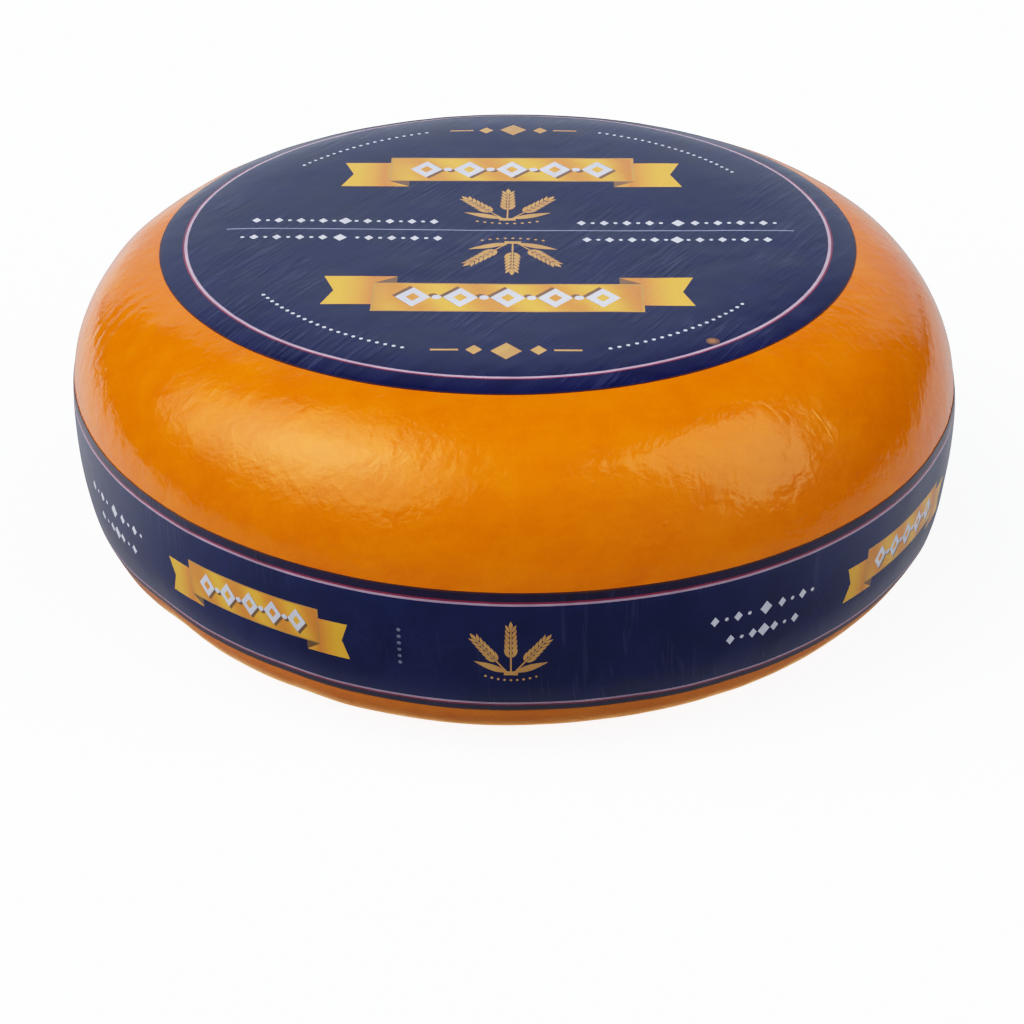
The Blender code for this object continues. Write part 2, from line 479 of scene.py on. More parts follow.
def cut_sheet(outline, lattice, shapes, rings=()):
    """Triangulates a flat sheet so that the outline and every shape's edge are edges of the mesh.
    Returns points, triangles and each triangle's ink name."""
    pts, edges = [], []

    def loop(poly):
        first = len(pts)
        pts.extend(Vector((float(x), float(y))) for x, y in poly)
        count = len(poly)
        edges.extend((first + i, first + (i + 1) % count) for i in range(count))

    loop(outline)
    for ring in rings:
        loop(ring[1])
    for _, poly in shapes:
        loop(poly)
    for x, y in lattice:
        pts.append(Vector((float(x), float(y))))
    out = delaunay_2d_cdt(pts, edges, [], 0, 1e-4, False)
    v = np.array([(p.x, p.y) for p in out[0]])
    f = np.array([t for t in out[2] if len(t) == 3], int)
    c = v[f].mean(1)
    keep = inside(c[:, 0], c[:, 1], outline)
    a, b, d = v[f[:, 0]], v[f[:, 1]], v[f[:, 2]]
    area = 0.5 * ((b[:, 0] - a[:, 0]) * (d[:, 1] - a[:, 1]) - (b[:, 1] - a[:, 1]) * (d[:, 0] - a[:, 0]))
    keep &= np.abs(area) > 1e-9
    f, c, area = f[keep], c[keep], area[keep]
    f[area < 0] = f[area < 0][:, ::-1]
    ink = np.array(["navy"] * len(f), dtype=object)
    for name, poly in list(rings) + list(shapes):
        q = np.asarray(poly)
        near = (c[:, 0] > q[:, 0].min()) & (c[:, 0] < q[:, 0].max()) & (c[:, 1] > q[:, 1].min()) & (c[:, 1] < q[:, 1].max())
        idx = np.where(near)[0]
        if len(idx):
            sub = inside(c[idx, 0], c[idx, 1], poly)
            ink[idx[sub]] = name
    used = np.unique(f)
    remap = -np.ones(len(v), int)
    remap[used] = np.arange(len(used))
    return v[used], remap[f], ink


def sheet_solid(name, flat, tris, ink, lift, inks, local, inset):
    """A thin closed film: the printed face, a back face and the rim. lift gives base point, normal and rise of the top."""
    p, n, rise = lift(flat)
    top = p + n * rise[:, None]
    back = p + n * (rise - FILM_THICK)[:, None]
    count = len(top)
    order = list(inks)
    idx = {k: i for i, k in enumerate(order)}
    face_m = [idx[k] for k in ink]
    faces = [tuple(t) for t in tris]
    faces_back = [(t[2] + count, t[1] + count, t[0] + count) for t in tris]
    seen = {}
    for a, b, c in tris:
        for e in ((a, b), (b, c), (c, a)):
            key = (min(e), max(e))
            seen[key] = None if key in seen else e
    rim = [(e[1], e[0], e[0] + count, e[1] + count) for e in seen.values() if e is not None]
    all_faces = faces + faces_back + rim
    all_m = face_m + [idx["navy"]] * (len(faces_back) + len(rim))
    obj = mesh_object(name, np.concatenate([top, back]), all_faces, [inks[k] for k in order], all_m)
    mesh = obj.data
    # the rim is a crisp edge: without this the faces beside it are shaded as if they leaned outwards
    ends = np.zeros(2 * len(mesh.edges), np.int64)
    mesh.edges.foreach_get("vertices", ends)
    ends = np.sort(ends.reshape(-1, 2), 1)
    outline = np.sort(np.array([e for e in seen.values() if e is not None], np.int64), 1)
    outline = np.concatenate([outline, outline + count])
    crisp = np.isin(ends[:, 0] * (2 * count) + ends[:, 1], outline[:, 0] * (2 * count) + outline[:, 1])
    mesh.edges.foreach_set("use_edge_sharp", crisp)
    att = mesh.attributes.new("print_at", "FLOAT_VECTOR", "POINT")
    flat3 = np.zeros((2 * count, 3), np.float32)
    flat3[:count, :2] = local
    flat3[count:, :2] = local
    att.data.foreach_set("vector", flat3.ravel())
    rim_at = mesh.attributes.new("rim_at", "FLOAT", "POINT")
    rim_at.data.foreach_set("value", np.concatenate([inset, inset]).astype(np.float32))
    return obj


def jittered(x0, x1, y0, y1, pitch, seed):
    """A staggered lattice of points with a little jitter."""
    rng = np.random.default_rng(seed)
    rows = int((y1 - y0) / (pitch * 0.866)) + 1
    cols = int((x1 - x0) / pitch) + 2
    j, i = np.meshgrid(np.arange(rows), np.arange(cols), indexing="ij")
    x = x0 + (i + 0.5 * (j % 2)) * pitch
    y = y0 + j * pitch * 0.866
    x = x + rng.uniform(-0.10, 0.10, x.shape) * pitch
    y = y + rng.uniform(-0.10, 0.10, y.shape) * pitch
    return np.stack([x.ravel(), y.ravel()], 1)


def clear_of(points, polys, gap):
    """Drops lattice points that lie too close to any outline, so that no sliver forms."""
    segs = []
    for poly in polys:
        q = np.asarray(poly, float)
        segs.append(np.concatenate([q, np.roll(q, -1, axis=0)], 1))
    segs = np.concatenate(segs)
    # sample the segments finely and hash them on a grid
    cell = gap
    grid = set()
    for a, b, c, d in segs:
        length = math.hypot(c - a, d - b)
        k = max(1, int(length / (0.5 * gap)))
        for i in range(k + 1):
            t = i / k
            grid.add((int(math.floor((a + (c - a) * t) / cell)), int(math.floor((b + (d - b) * t) / cell))))
    gx = np.floor(points[:, 0] / cell).astype(int)
    gy = np.floor(points[:, 1] / cell).astype(int)
    keep = np.array([(x, y) not in grid for x, y in zip(gx, gy)])
    return points[keep]


# ---------------------------------------------------------------- creases of the film


def film_creases(p, n_flat, seed, strength=1.0):
    """Shallow waves and folds of a film: warped, stretched noise. n_flat is (n, 2) in metres on the sheet."""
    q = np.concatenate([n_flat, np.zeros((len(n_flat), 1))], 1)
    bend = q.copy()
    bend[:, 0] += 0.012 * noise(q, 0.040, seed + 1)
    bend[:, 1] += 0.012 * noise(q + 5.0, 0.040, seed + 2)
    c, s = math.cos(0.75), math.sin(0.75)
    along = np.stack([(bend[:, 0] * c + bend[:, 1] * s) * 0.42, -bend[:, 0] * s + bend[:, 1] * c, bend[:, 2]], 1)
    a = noise(along, 0.017, seed + 3)
    b = noise(bend, 0.024, seed + 4)
    drawn = np.stack([(bend[:, 0] * 0.50 + bend[:, 1] * 0.87) * 0.16, -bend[:, 0] * 0.87 + bend[:, 1] * 0.50, bend[:, 2]], 1)
    c = noise(drawn, 0.0085, seed + 5) * smooth(noise(q, 0.050, seed + 6), -0.2, 0.3)
    return strength * (0.000022 * a + 0.000030 * b + 0.000016 * c)


def top_label(inks):
    pitch = 1.55
    shapes = top_print()
    edge = circle(0, 0, LABEL_RADIUS * 1000, 480)
    red = circle(0, 0, 126.60, 480)
    pink = circle(0, 0, 125.95, 480)
    inner = circle(0, 0, 124.80, 480)
    mid = placed([("pale", bar(-111.0, -0.36, 111.0, 0.36))], 0.9, -1.5, math.radians(-0.7))
    spot = [("stain", circle(73.4, -97.4, 2.5, 20)), ("spot", circle(73.2, -97.2, 1.4, 16))]
    shapes = [(ink, dense(poly)) for ink, poly in mid + shapes + spot]
    rings = [("red", red), ("pink", pink), ("navy", inner)]
    points = jittered(-136, 136, -136, 136, pitch, 5)
    points = points[np.hypot(points[:, 0], points[:, 1]) < LABEL_RADIUS * 1000 - 0.5 * pitch]
    points = clear_of(points, [edge, red, pink, inner] + [s for _, s in shapes], 0.34 * pitch)
    flat, tris, ink = cut_sheet(edge, points, shapes, rings)

    def lift(flat):
        q = flat / 1000.0
        x, y = q[:, 0] + LABEL_AT[0], q[:, 1] + LABEL_AT[1]
        r = np.hypot(x, y)
        s = s_of_radius(r)
        turn = np.arctan2(x, -y)
        p, n = on_wheel(s, turn)
        away = np.hypot(q[:, 0], q[:, 1]) / LABEL_RADIUS
        rise = lumps(p) + FILM_OFF + film_creases(p, q, 40)
        # pleats where the flat film is brought down over the shoulder
        ang = np.arctan2(q[:, 1], q[:, 0])
        around = np.stack([np.cos(ang) * 0.135, np.sin(ang) * 0.135, away * 0.030], 1)
        pleat = noise(around, 0.0085, 61) * 0.5 + noise(around, 0.0048, 62) * 0.25
        # and wrinkles that run slantwise over the edge
        along = np.stack([(q[:, 0] + q[:, 1]) * 0.18, (q[:, 1] - q[:, 0]) * 0.72, away * 0.0], 1)
        slant = noise(along, 0.0062, 63) * 0.6 + noise(along, 0.0034, 64) * 0.3
        rise += (0.000045 * pleat + 0.000060 * slant) * smooth(away, 0.74, 0.93)
        # the very edge is brushed down on to the rind
        rise -= 0.00010 * smooth(away, 0.988, 1.0)
        return p, n, rise

    inset = LABEL_RADIUS * 1000 - np.hypot(flat[:, 0], flat[:, 1])
    return sheet_solid("label_round", flat, tris, ink, lift, inks, flat, inset)


def side_band(inks):
    pitch = 1.65
    lap = 14.0
    length = 2 * math.pi * RADIUS * 1000
    start = math.radians(-232.8) * RADIUS * 1000      # the seam lies at the back, between two motifs
    end = start + length + lap
    low, high = BAND_LOW * 1000, BAND_HIGH * 1000
    mid = 0.5 * (low + high)
    quarter = math.radians(88.9) * RADIUS * 1000      # from one banner to the next
    offset = math.radians(-32.5) * RADIUS * 1000
    shapes = []
    for k in range(-3, 4):
        cx = offset + k * quarter
        for motif in band_print():
            motif = placed(motif, cx, mid + 0.15)
            xs = [x for _, pts in motif for x, _ in pts]
            if min(xs) > start + lap + 2 and max(xs) < end - 2:
                shapes += [(ink, dense(pts)) for ink, pts in motif]
    cols = 420
    xs = np.linspace(start, end, cols)
    lower = [(x, low) for x in xs]
    upper = [(x, high) for x in xs[::-1]]
    edge = lower + upper
    stripes = []
    for ink, a, b in (("red", high - 4.12, high - 3.40), ("faint", high - 4.98, high - 4.12),
                      ("faint", low + 3.25, low + 4.05), ("red", low + 2.55, low + 3.25)):
        stripes.append((ink, [(x, a) for x in xs] + [(x, b) for x in xs[::-1]]))
    # stripes run the whole length: pull their ends in a hair so that they don't cross the outline
    stripes = [(ink, [(min(max(x, start + 0.01), end - 0.01), y) for x, y in pts]) for ink, pts in stripes]
    points = jittered(start, end, low, high, pitch, 9)
    inset = 0.5 * pitch
    ok = (points[:, 0] > start + inset) & (points[:, 0] < end - inset) & (points[:, 1] > low + inset) & (points[:, 1] < high - inset)
    points = clear_of(points[ok], [p for _, p in stripes] + [p for _, p in shapes], 0.34 * pitch)
    flat, tris, ink = cut_sheet(edge, points, stripes + shapes)
    middle = flat[tris].mean(1)[:, 1]
    ink[(ink == "navy") & ((middle > high - 3.40) | (middle < low + 2.55))] = "plum"
    ink[ink == "navy"] = "deep"

    def lift(flat):
        turn = flat[:, 0] / 1000.0 / RADIUS
        x, y = RADIUS * np.sin(turn), -RADIUS * np.cos(turn)
        slant = BAND_SLANT[0] * x + BAND_SLANT[1] * y
        wave = 0.00022 * noise(np.stack([x, y, flat[:, 1] * 0.0], 1), 0.06, 77)
        z = flat[:, 1] / 1000.0 + slant + wave
        s = s_of_height(z)
        p, n = on_wheel(s, turn)
        q = np.stack([flat[:, 0] / 1000.0, flat[:, 1] / 1000.0], 1)
        rise = lumps(p) + FILM_OFF + film_creases(p, q[:, ::-1] * np.array([1.0, 1.0]), 90, 0.8)
        # the free end lies over the start
        rise += (FILM_THICK + 0.00004) * smooth(flat[:, 0], end - lap - 5.0, end - lap + 1.0)
        inset = np.minimum(flat[:, 1] - low, high - flat[:, 1])
        pleat = noise(np.stack([x * 1.0, y * 1.0, flat[:, 1] * 0.0002], 1), 0.0068, 91)
        rise += 0.000030 * pleat * (1 - smooth(inset, 0.0, 5.0))
        # its edges are brushed down on to the rind
        rise -= 0.00009 * (1 - smooth(inset, 0.0, 1.5))
        return p, n, rise

    # local place of each point within its own banner, for the gold's shading
    local = flat.copy()
    local[:, 0] = (flat[:, 0] - offset + quarter / 2) % quarter - quarter / 2
    local[:, 1] = flat[:, 1] - mid
    local = local * (50.3 / 28.9)
    inset = np.minimum(flat[:, 1] - low, high - flat[:, 1])
    return sheet_solid("label_band", flat, tris, ink, lift, inks, local, inset)


# ================================================================ materials


class Nodes:
    """A short way to write a node tree."""

    def __init__(self, name):
        self.mat = bpy.data.materials.new(name)
        self.mat.use_nodes = True
        self.tree = self.mat.node_tree
        self.tree.nodes.clear()

    def add(self, kind, inputs=None, out=0, **props):
        node = self.tree.nodes.new(kind)
        for k, v in props.items():
            setattr(node, k, v)
        for k, v in (inputs or {}).items():
            sock = node.inputs[k]
            if isinstance(v, bpy.types.NodeSocket):
                self.tree.links.new(v, sock)
            else:
                sock.default_value = v
        return node.outputs[out]

    def math(self, op, a, b=0.0, clamp=False):
        return self.add("ShaderNodeMath", {0: a, 1: b}, operation=op, use_clamp=clamp)

    def noise(self, vec, size, detail=3.0, rough=0.5, warp=0.0, out="Fac"):
        return self.add("ShaderNodeTexNoise", {"Vector": vec, "Scale": 1.0 / size, "Detail": detail,
                                               "Roughness": rough, "Distortion": warp}, out)

    def ramp(self, fac, stops, mode="LINEAR"):
        node = self.tree.nodes.new("ShaderNodeValToRGB")
        r = node.color_ramp
        r.interpolation = mode
        while len(r.elements) < len(stops):
            r.elements.new(0.5)
        for e, (pos, col) in zip(r.elements, stops):
            e.position = pos
            e.color = (*col, 1.0) if len(col) == 3 else col
        self.tree.links.new(fac, node.inputs[0])
        return node.outputs[0]

    def mix(self, fac, a, b, mode="MIX"):
        node = self.tree.nodes.new("ShaderNodeMix")
        node.data_type = "RGBA"
        node.blend_type = mode
        for sock, v in ((node.inputs[0], fac), (node.inputs[6], a), (node.inputs[7], b)):
            if isinstance(v, bpy.types.NodeSocket):
                self.tree.links.new(v, sock)
            else:
                sock.default_value = v if not isinstance(v, tuple) or len(v) == 4 else (*v, 1.0)
        return node.outputs[2]

    def surface(self, **inputs):
        shader = self.tree.nodes.new("ShaderNodeBsdfPrincipled")
        for k, v in inputs.items():
            sock = shader.inputs[k.replace("_", " ")]
            if isinstance(v, bpy.types.NodeSocket):
                self.tree.links.new(v, sock)
            else:
                sock.default_value = v if not (isinstance(v, tuple) and len(v) == 3 and sock.type == "RGBA") else (*v, 1.0)
        out = self.tree.nodes.new("ShaderNodeOutputMaterial")
        self.tree.links.new(shader.outputs[0], out.inputs[0])
        return self.mat


def rind_material():
    k = Nodes("rind_coating")
    at = k.add("ShaderNodeTexCoord", out="Object")
    cloud = k.noise(at, 0.024, 3.0, 0.5, 0.4)
    blotch = k.noise(at, 0.0075, 3.0, 0.5, 0.3)
    weave = k.noise(at, 0.0014, 2.0, 0.6, 0.2)
    # brush marks: noise drawn out along a slant
    long = k.add("ShaderNodeMapping", {"Vector": at, "Rotation": (0.9, 0.25, 0.5), "Scale": (0.060, 0.0060, 0.020)},
                 vector_type="TEXTURE")
    brush = k.noise(long, 1.0, 3.0, 0.6, 0.4)
    tone = k.math("ADD", k.math("ADD", k.math("MULTIPLY", cloud, 0.44), k.math("MULTIPLY", blotch, 0.18)),
                  k.math("ADD", k.math("MULTIPLY", brush, 0.22), k.math("MULTIPLY", weave, 0.16)))
    colour = k.ramp(tone, [(0.38, (0.735, 0.154, 0.0004)), (0.47, (0.775, 0.172, 0.0005)),
                           (0.53, (0.795, 0.183, 0.0006)), (0.64, (0.830, 0.208, 0.0012))])
    rough = k.add("ShaderNodeMapRange", {"Value": cloud, "From Min": 0.3, "From Max": 0.7, "To Min": 0.085, "To Max": 0.135})
    # the coating is pimpled in patches
    patch = k.ramp(k.noise(at, 0.034, 2.0, 0.5, 0.5), [(0.42, (0.25, 0.25, 0.25)), (0.60, (1.0, 1.0, 1.0))])
    peel = k.noise(at, 0.0026, 2.0, 0.5, 0.3)
    dimple = k.noise(at, 0.0062, 2.0, 0.45, 0.6)
    relief = k.math("ADD", k.math("MULTIPLY", k.math("MULTIPLY", peel, patch), 0.70), k.math("MULTIPLY", dimple, 1.45))
    relief = k.math("ADD", relief, k.math("MULTIPLY", brush, 0.55))
    speckle = k.ramp(k.noise(at, 0.021, 2.0, 0.5, 0.6), [(0.44, (0.20, 0.20, 0.20)), (0.58, (1.0, 1.0, 1.0))])
    relief = k.math("ADD", relief, k.math("MULTIPLY", k.math("MULTIPLY", weave, speckle), 0.42))
    # a pimple, a pit and a hairline ridge on the right of the front
    for place, turn, size, height in (((0.0508, -0.1612, 0.0926), (0.0, 0.0, 0.0), (0.0017, 0.0017, 0.0017), 1.1),
                                      ((0.0733, -0.1485, 0.1035), (0.0, 0.0, 0.0), (0.0030, 0.0030, 0.0022), -0.75),
                                      ((0.1066, -0.1162, 0.1100), (0.0, 0.762, -0.494), (0.0050, 0.0011, 0.0011), 0.85),
                                      ((0.1108, -0.1188, 0.1047), (0.0, 0.922, -0.638), (0.0042, 0.0011, 0.0011), 0.85)):
        spot = k.add("ShaderNodeMapping", {"Vector": at, "Location": place, "Rotation": turn, "Scale": size},
                     vector_type="TEXTURE")
        far = k.add("ShaderNodeVectorMath", {0: spot}, out="Value", operation="LENGTH")
        relief = k.math("ADD", relief, k.add("ShaderNodeMapRange", {"Value": far, "From Min": 0.0, "From Max": 1.0,
                                                                    "To Min": height, "To Max": 0.0},
                                             interpolation_type="SMOOTHSTEP"))
    normal = k.add("ShaderNodeBump", {"Strength": 1.0, "Distance": 0.00020, "Height": relief})
    return k.surface(Base_Color=colour, Roughness=rough, Normal=normal, IOR=1.5, Specular_Tint=(1.0, 0.80, 0.34))


def film_nodes(k):
    """The relief and gloss that all printed film shares: slack waves, a few fine creases and a fine tooth. The inks
    also get a painted highlight along the creases, and painted sheen with scuffs on fine ruled lines.
    """
    at = k.add("ShaderNodeTexCoord", out="Object")
    slack = k.add("ShaderNodeMapping", {"Vector": at, "Rotation": (0.0, 0.0, 0.75), "Scale": (0.030, 0.011, 0.014)},
                  vector_type="TEXTURE")
    wave = k.noise(slack, 1.0, 2.0, 0.45, 0.8)
    drawn = k.add("ShaderNodeMapping", {"Vector": at, "Rotation": (0.0, 0.0, 1.05), "Scale": (0.085, 0.0050, 0.020)},
                  vector_type="TEXTURE")
    crease = k.noise(drawn, 1.0, 2.0, 0.5, 0.30)
    # the creases' centre lines: the inks are lightened along them, a painted highlight
    thread = k.math("ABSOLUTE", k.math("SUBTRACT", crease, 0.5))
    crease_highlight = k.add("ShaderNodeMapRange", {"Value": thread, "From Min": 0.0, "From Max": 0.030, "To Min": 1.0, "To Max": 0.0},
                 interpolation_type="SMOOTHSTEP")
    wide = k.noise(at, 0.020, 3.0, 0.5, 0.6)
    some = k.add("ShaderNodeMapRange", {"Value": k.noise(at, 0.040, 1.0), "From Min": 0.47, "From Max": 0.62,
                                        "To Min": 0.0, "To Max": 1.0}, interpolation_type="SMOOTHSTEP")
    crease_highlight = k.math("MULTIPLY", crease_highlight, some)
    grain = k.noise(at, 0.0013, 2.0, 0.5, 0.3)
    # fine drawn lines, close together, in patches
    ruled = k.add("ShaderNodeMapping", {"Vector": at, "Rotation": (0.0, 0.0, 1.02), "Scale": (0.022, 0.0020, 0.030)},
                  vector_type="TEXTURE")
    lines = k.noise(ruled, 1.0, 2.0, 0.5, 0.55)
    taut = k.add("ShaderNodeMapRange", {"Value": k.noise(at, 0.055, 1.0), "From Min": 0.42, "From Max": 0.58,
                                        "To Min": 0.20, "To Max": 1.0}, interpolation_type="SMOOTHSTEP")
    lines = k.math("MULTIPLY", k.math("SUBTRACT", lines, 0.5), taut)
    relief = k.math("ADD", k.math("MULTIPLY", wave, 0.55), k.math("MULTIPLY", grain, 0.06))
    relief = k.math("ADD", relief, k.math("MULTIPLY", k.math("MULTIPLY", crease, some), 0.20))
    relief = k.math("ADD", relief, k.math("MULTIPLY", lines, 1.15))
    # scuffs and painted sheen: where the ruled lines stand up, the inks are lightened
    scuff_and_sheen = k.add("ShaderNodeMapRange", {"Value": lines, "From Min": 0.05, "From Max": 0.19, "To Min": 0.0, "To Max": 0.55},
                  interpolation_type="SMOOTHSTEP")
    normal = k.add("ShaderNodeBump", {"Strength": 1.0, "Distance": 0.00014, "Height": relief})
    rough = k.add("ShaderNodeMapRange", {"Value": wide, "From Min": 0.3, "From Max": 0.7, "To Min": 0.19, "To Max": 0.29})
    return at, wave, crease_highlight, scuff_and_sheen, wide, normal, rough


def ink_material(name, dark, light, rim=None):
    """One ink. rim is the two colours, at the film's very edge and a little inside, of the coating brushed over it."""
    k = Nodes(name)
    at, wave, crease_highlight, scuff_and_sheen, wide, normal, rough = film_nodes(k)
    tone = k.math("ADD", k.math("MULTIPLY", wide, 0.62), k.math("MULTIPLY", wave, 0.38))
    # painted highlight: the colour is lighter along the creases
    tone = k.math("ADD", tone, k.math("MULTIPLY", crease_highlight, 0.10))
    colour = k.ramp(tone, [(0.40, dark), (0.60, light)])
    # scuffs and painted sheen: dark inks turn a lighter blue on the ruled lines
    if max(dark) < 0.1:
        colour = k.mix(scuff_and_sheen, colour, (0.030, 0.034, 0.100))
    if rim:
        inset = k.add("ShaderNodeAttribute", out="Fac", attribute_name="rim_at", attribute_type="GEOMETRY")
        worn = k.math("ADD", inset, k.math("MULTIPLY", k.math("SUBTRACT", wide, 0.5), 1.2))
        brushed = k.ramp(worn, [(0.0, rim[0]), (0.7, rim[1])])
        fade = k.add("ShaderNodeMapRange", {"Value": worn, "From Min": 0.2, "From Max": 1.1, "To Min": 0.0, "To Max": 1.0},
                     interpolation_type="SMOOTHSTEP")
        colour = k.mix(fade, brushed, colour)
        dull = k.math("MULTIPLY", k.math("SUBTRACT", 1.0, fade), 0.10)
        rough = k.math("ADD", rough, dull)
    return k.surface(Base_Color=colour, Roughness=rough, Normal=normal, IOR=1.5, Specular_Tint=(0.86, 0.93, 1.0))


def gold_material():
    """Printed gold: slanted bars of yellow and orange along each banner."""
    k = Nodes("ink_gold")
    at, wave, crease_highlight, scuff_and_sheen, wide, normal, rough = film_nodes(k)
    place = k.add("ShaderNodeAttribute", out="Vector", attribute_name="print_at", attribute_type="GEOMETRY")
    split = k.add("ShaderNodeSeparateXYZ", {0: place})
    x, y = split, split.node.outputs[1]
    slant = k.math("ADD", x, k.math("MULTIPLY", y, 0.45))
    wob = k.math("MULTIPLY", k.math("SUBTRACT", wide, 0.5), 10.0)
    phase = k.math("MULTIPLY", k.math("ADD", slant, wob), 2 * math.pi / 29.0)
    wave = k.math("MULTIPLY_ADD", k.math("SINE", phase), 0.5)
    wave.node.inputs[2].default_value = 0.5
    bar_col = k.ramp(wave, [(0.0, (0.69, 0.27, 0.040)), (0.45, (0.75, 0.34, 0.040)), (1.0, (0.81, 0.45, 0.048))])
    away = k.math("ABSOLUTE", x)
    # the bar turns a deeper orange towards both of its ends
    end_t = k.add("ShaderNodeMapRange", {"Value": away, "From Min": 39.0, "From Max": 50.3, "To Min": 0.0, "To Max": 0.75})
    bar_col = k.mix(end_t, bar_col, k.ramp(end_t, [(0.0, (0.62, 0.21, 0.040)), (1.0, (0.60, 0.20, 0.042))]))
    tail_t = k.add("ShaderNodeMapRange", {"Value": away, "From Min": 50.0, "From Max": 62.0, "To Min": 0.0, "To Max": 1.0})
    tail_col = k.ramp(tail_t, [(0.0, (0.66, 0.23, 0.045)), (0.45, (0.76, 0.34, 0.040)), (1.0, (0.80, 0.44, 0.040))])
    is_tail = k.math("GREATER_THAN", away, 50.3)
    colour = k.mix(is_tail, bar_col, tail_col)
    return k.surface(Base_Color=colour, Roughness=rough, Normal=normal, IOR=1.5, Specular_Tint=(0.85, 0.94, 1.0))


def floor_material():
    """A pale floor. What it throws back on to the wheel is less than what it shows: a white table that widens
    backwards, in a room that is dark beside it and behind the camera."""
    k = Nodes("floor_pale")
    at = k.add("ShaderNodeTexCoord", out="Object")
    n = k.noise(at, 0.4, 2.0)
    colour = k.ramp(n, [(0.3, (0.27, 0.275, 0.28)), (0.7, (0.28, 0.285, 0.29))])
    shown = k.add("ShaderNodeBsdfDiffuse", {"Color": colour})
    lit = k.add("ShaderNodeEmission", {"Color": (0.98, 1.0, 1.02, 1.0), "Strength": 1.28})
    seen = k.add("ShaderNodeAddShader", {0: shown, 1: lit})
    split = k.add("ShaderNodeSeparateXYZ", {0: at})
    x, y = split, split.node.outputs[1]
    aside = k.math("SUBTRACT", k.math("ABSOLUTE", x), k.math("MULTIPLY", y, 0.5))
    table = k.add("ShaderNodeMapRange", {"Value": aside, "From Min": 0.50, "From Max": 0.64, "To Min": 1.0, "To Max": 0.0},
                  interpolation_type="SMOOTHSTEP")
    front = k.add("ShaderNodeMapRange", {"Value": y, "From Min": -0.40, "From Max": -0.05, "To Min": 0.30, "To Max": 1.0},
                  interpolation_type="SMOOTHSTEP")
    grey = k.math("MULTIPLY", table, 0.12)
    bounce = k.add("ShaderNodeBsdfDiffuse", {"Color": k.add("ShaderNodeCombineColor", {0: grey, 1: grey, 2: grey})})
    leftward = k.add("ShaderNodeMapRange", {"Value": k.math("MULTIPLY", x, -1.0), "From Min": 0.08, "From Max": 0.36,
                                            "To Min": 0.05, "To Max": 0.78}, interpolation_type="SMOOTHSTEP")
    rightward = k.add("ShaderNodeMapRange", {"Value": x, "From Min": 0.10, "From Max": 0.29,
                                             "To Min": 0.05, "To Max": 0.54}, interpolation_type="SMOOTHSTEP")
    glow = k.math("MAXIMUM", leftward, rightward)
    reach = k.add("ShaderNodeVectorMath", {0: at}, out="Value", operation="LENGTH")
    close = k.add("ShaderNodeMapRange", {"Value": reach, "From Min": 0.185, "From Max": 0.215, "To Min": 0.34, "To Max": 0.0},
                  interpolation_type="SMOOTHSTEP")
    clear = k.add("ShaderNodeMapRange", {"Value": reach, "From Min": 0.158, "From Max": 0.180, "To Min": 0.0, "To Max": 1.0},
                  interpolation_type="SMOOTHSTEP")
    under = k.add("ShaderNodeMapRange", {"Value": reach, "From Min": 0.150, "From Max": 0.169, "To Min": 1.95, "To Max": 0.0},
                  interpolation_type="SMOOTHSTEP")
    glow = k.math("MULTIPLY", k.math("MULTIPLY", k.math("MAXIMUM", glow, close), table), k.math("MULTIPLY", front, clear))
    # the floor in front stays dim, but not black, however far it runs
    dim = k.math("MULTIPLY", k.math("MULTIPLY", k.math("SUBTRACT", 1.0, front), 0.11), clear)
    glow = k.add("ShaderNodeEmission", {"Color": (0.97, 1.0, 1.08, 1.0), "Strength": k.math("ADD", glow, dim)})
    # and right under the wheel's edge it glows in the rind's colour: painted orange bounce light from the rind
    rind_bounce_glow = k.add("ShaderNodeEmission", {"Color": (0.60, 0.40, 0.18, 1.0), "Strength": under})
    bounce = k.add("ShaderNodeAddShader", {0: bounce, 1: k.add("ShaderNodeAddShader", {0: glow, 1: rind_bounce_glow})})
    camera_ray = k.add("ShaderNodeLightPath", out="Is Camera Ray")
    both = k.add("ShaderNodeMixShader", {0: camera_ray, 1: bounce, 2: seen})
    out = k.tree.nodes.new("ShaderNodeOutputMaterial")
    k.tree.links.new(both, out.inputs[0])
    return k.mat


# ================================================================ putting it together

